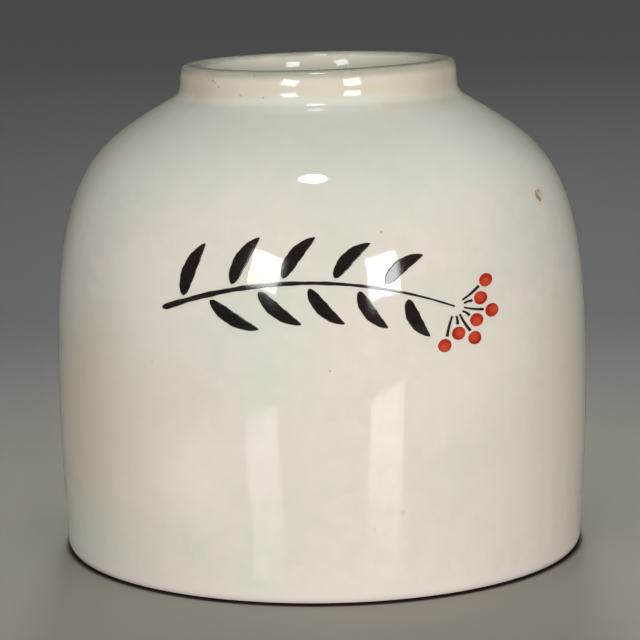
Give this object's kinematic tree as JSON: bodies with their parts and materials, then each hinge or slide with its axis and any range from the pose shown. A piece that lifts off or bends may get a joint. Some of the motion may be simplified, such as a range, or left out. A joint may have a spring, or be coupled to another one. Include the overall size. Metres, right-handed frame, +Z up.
{
  "type": "chinese water coupe",
  "caption": "Squat porcelain water coupe with near-upright walls, a domed shoulder and a low open neck, white-glazed and painted with a leafy spray; holds water for a desk.",
  "frame": {"origin": "on the table, at the centre of the standing ring", "axes": "+Z up along the axis of the pot, painted front towards -Y"},
  "size_m": [0.087, 0.087, 0.0795],
  "materials": {
    "porcelain_clay": "bare fired clay, matt",
    "luting_slip": "fired slip, matt",
    "white_glaze": "glossy, milky white glaze",
    "black_enamel": "thin glossy black enamel",
    "red_enamel": "thin satin iron-red enamel"
  },
  "bodies": {
    "root": {"lower_section": "porcelain_clay", "girth_luting": "luting_slip", "shoulder_section": "porcelain_clay", "neck_luting": "luting_slip", "neck_collar": "porcelain_clay", "outer_glaze": "white_glaze", "inner_glaze": "white_glaze", "base_glaze": "white_glaze", "enamel_stem": "black_enamel", "enamel_leaves": "black_enamel", "enamel_stalks": "black_enamel", "enamel_berries": "red_enamel"}
  },
  "joints": []
}
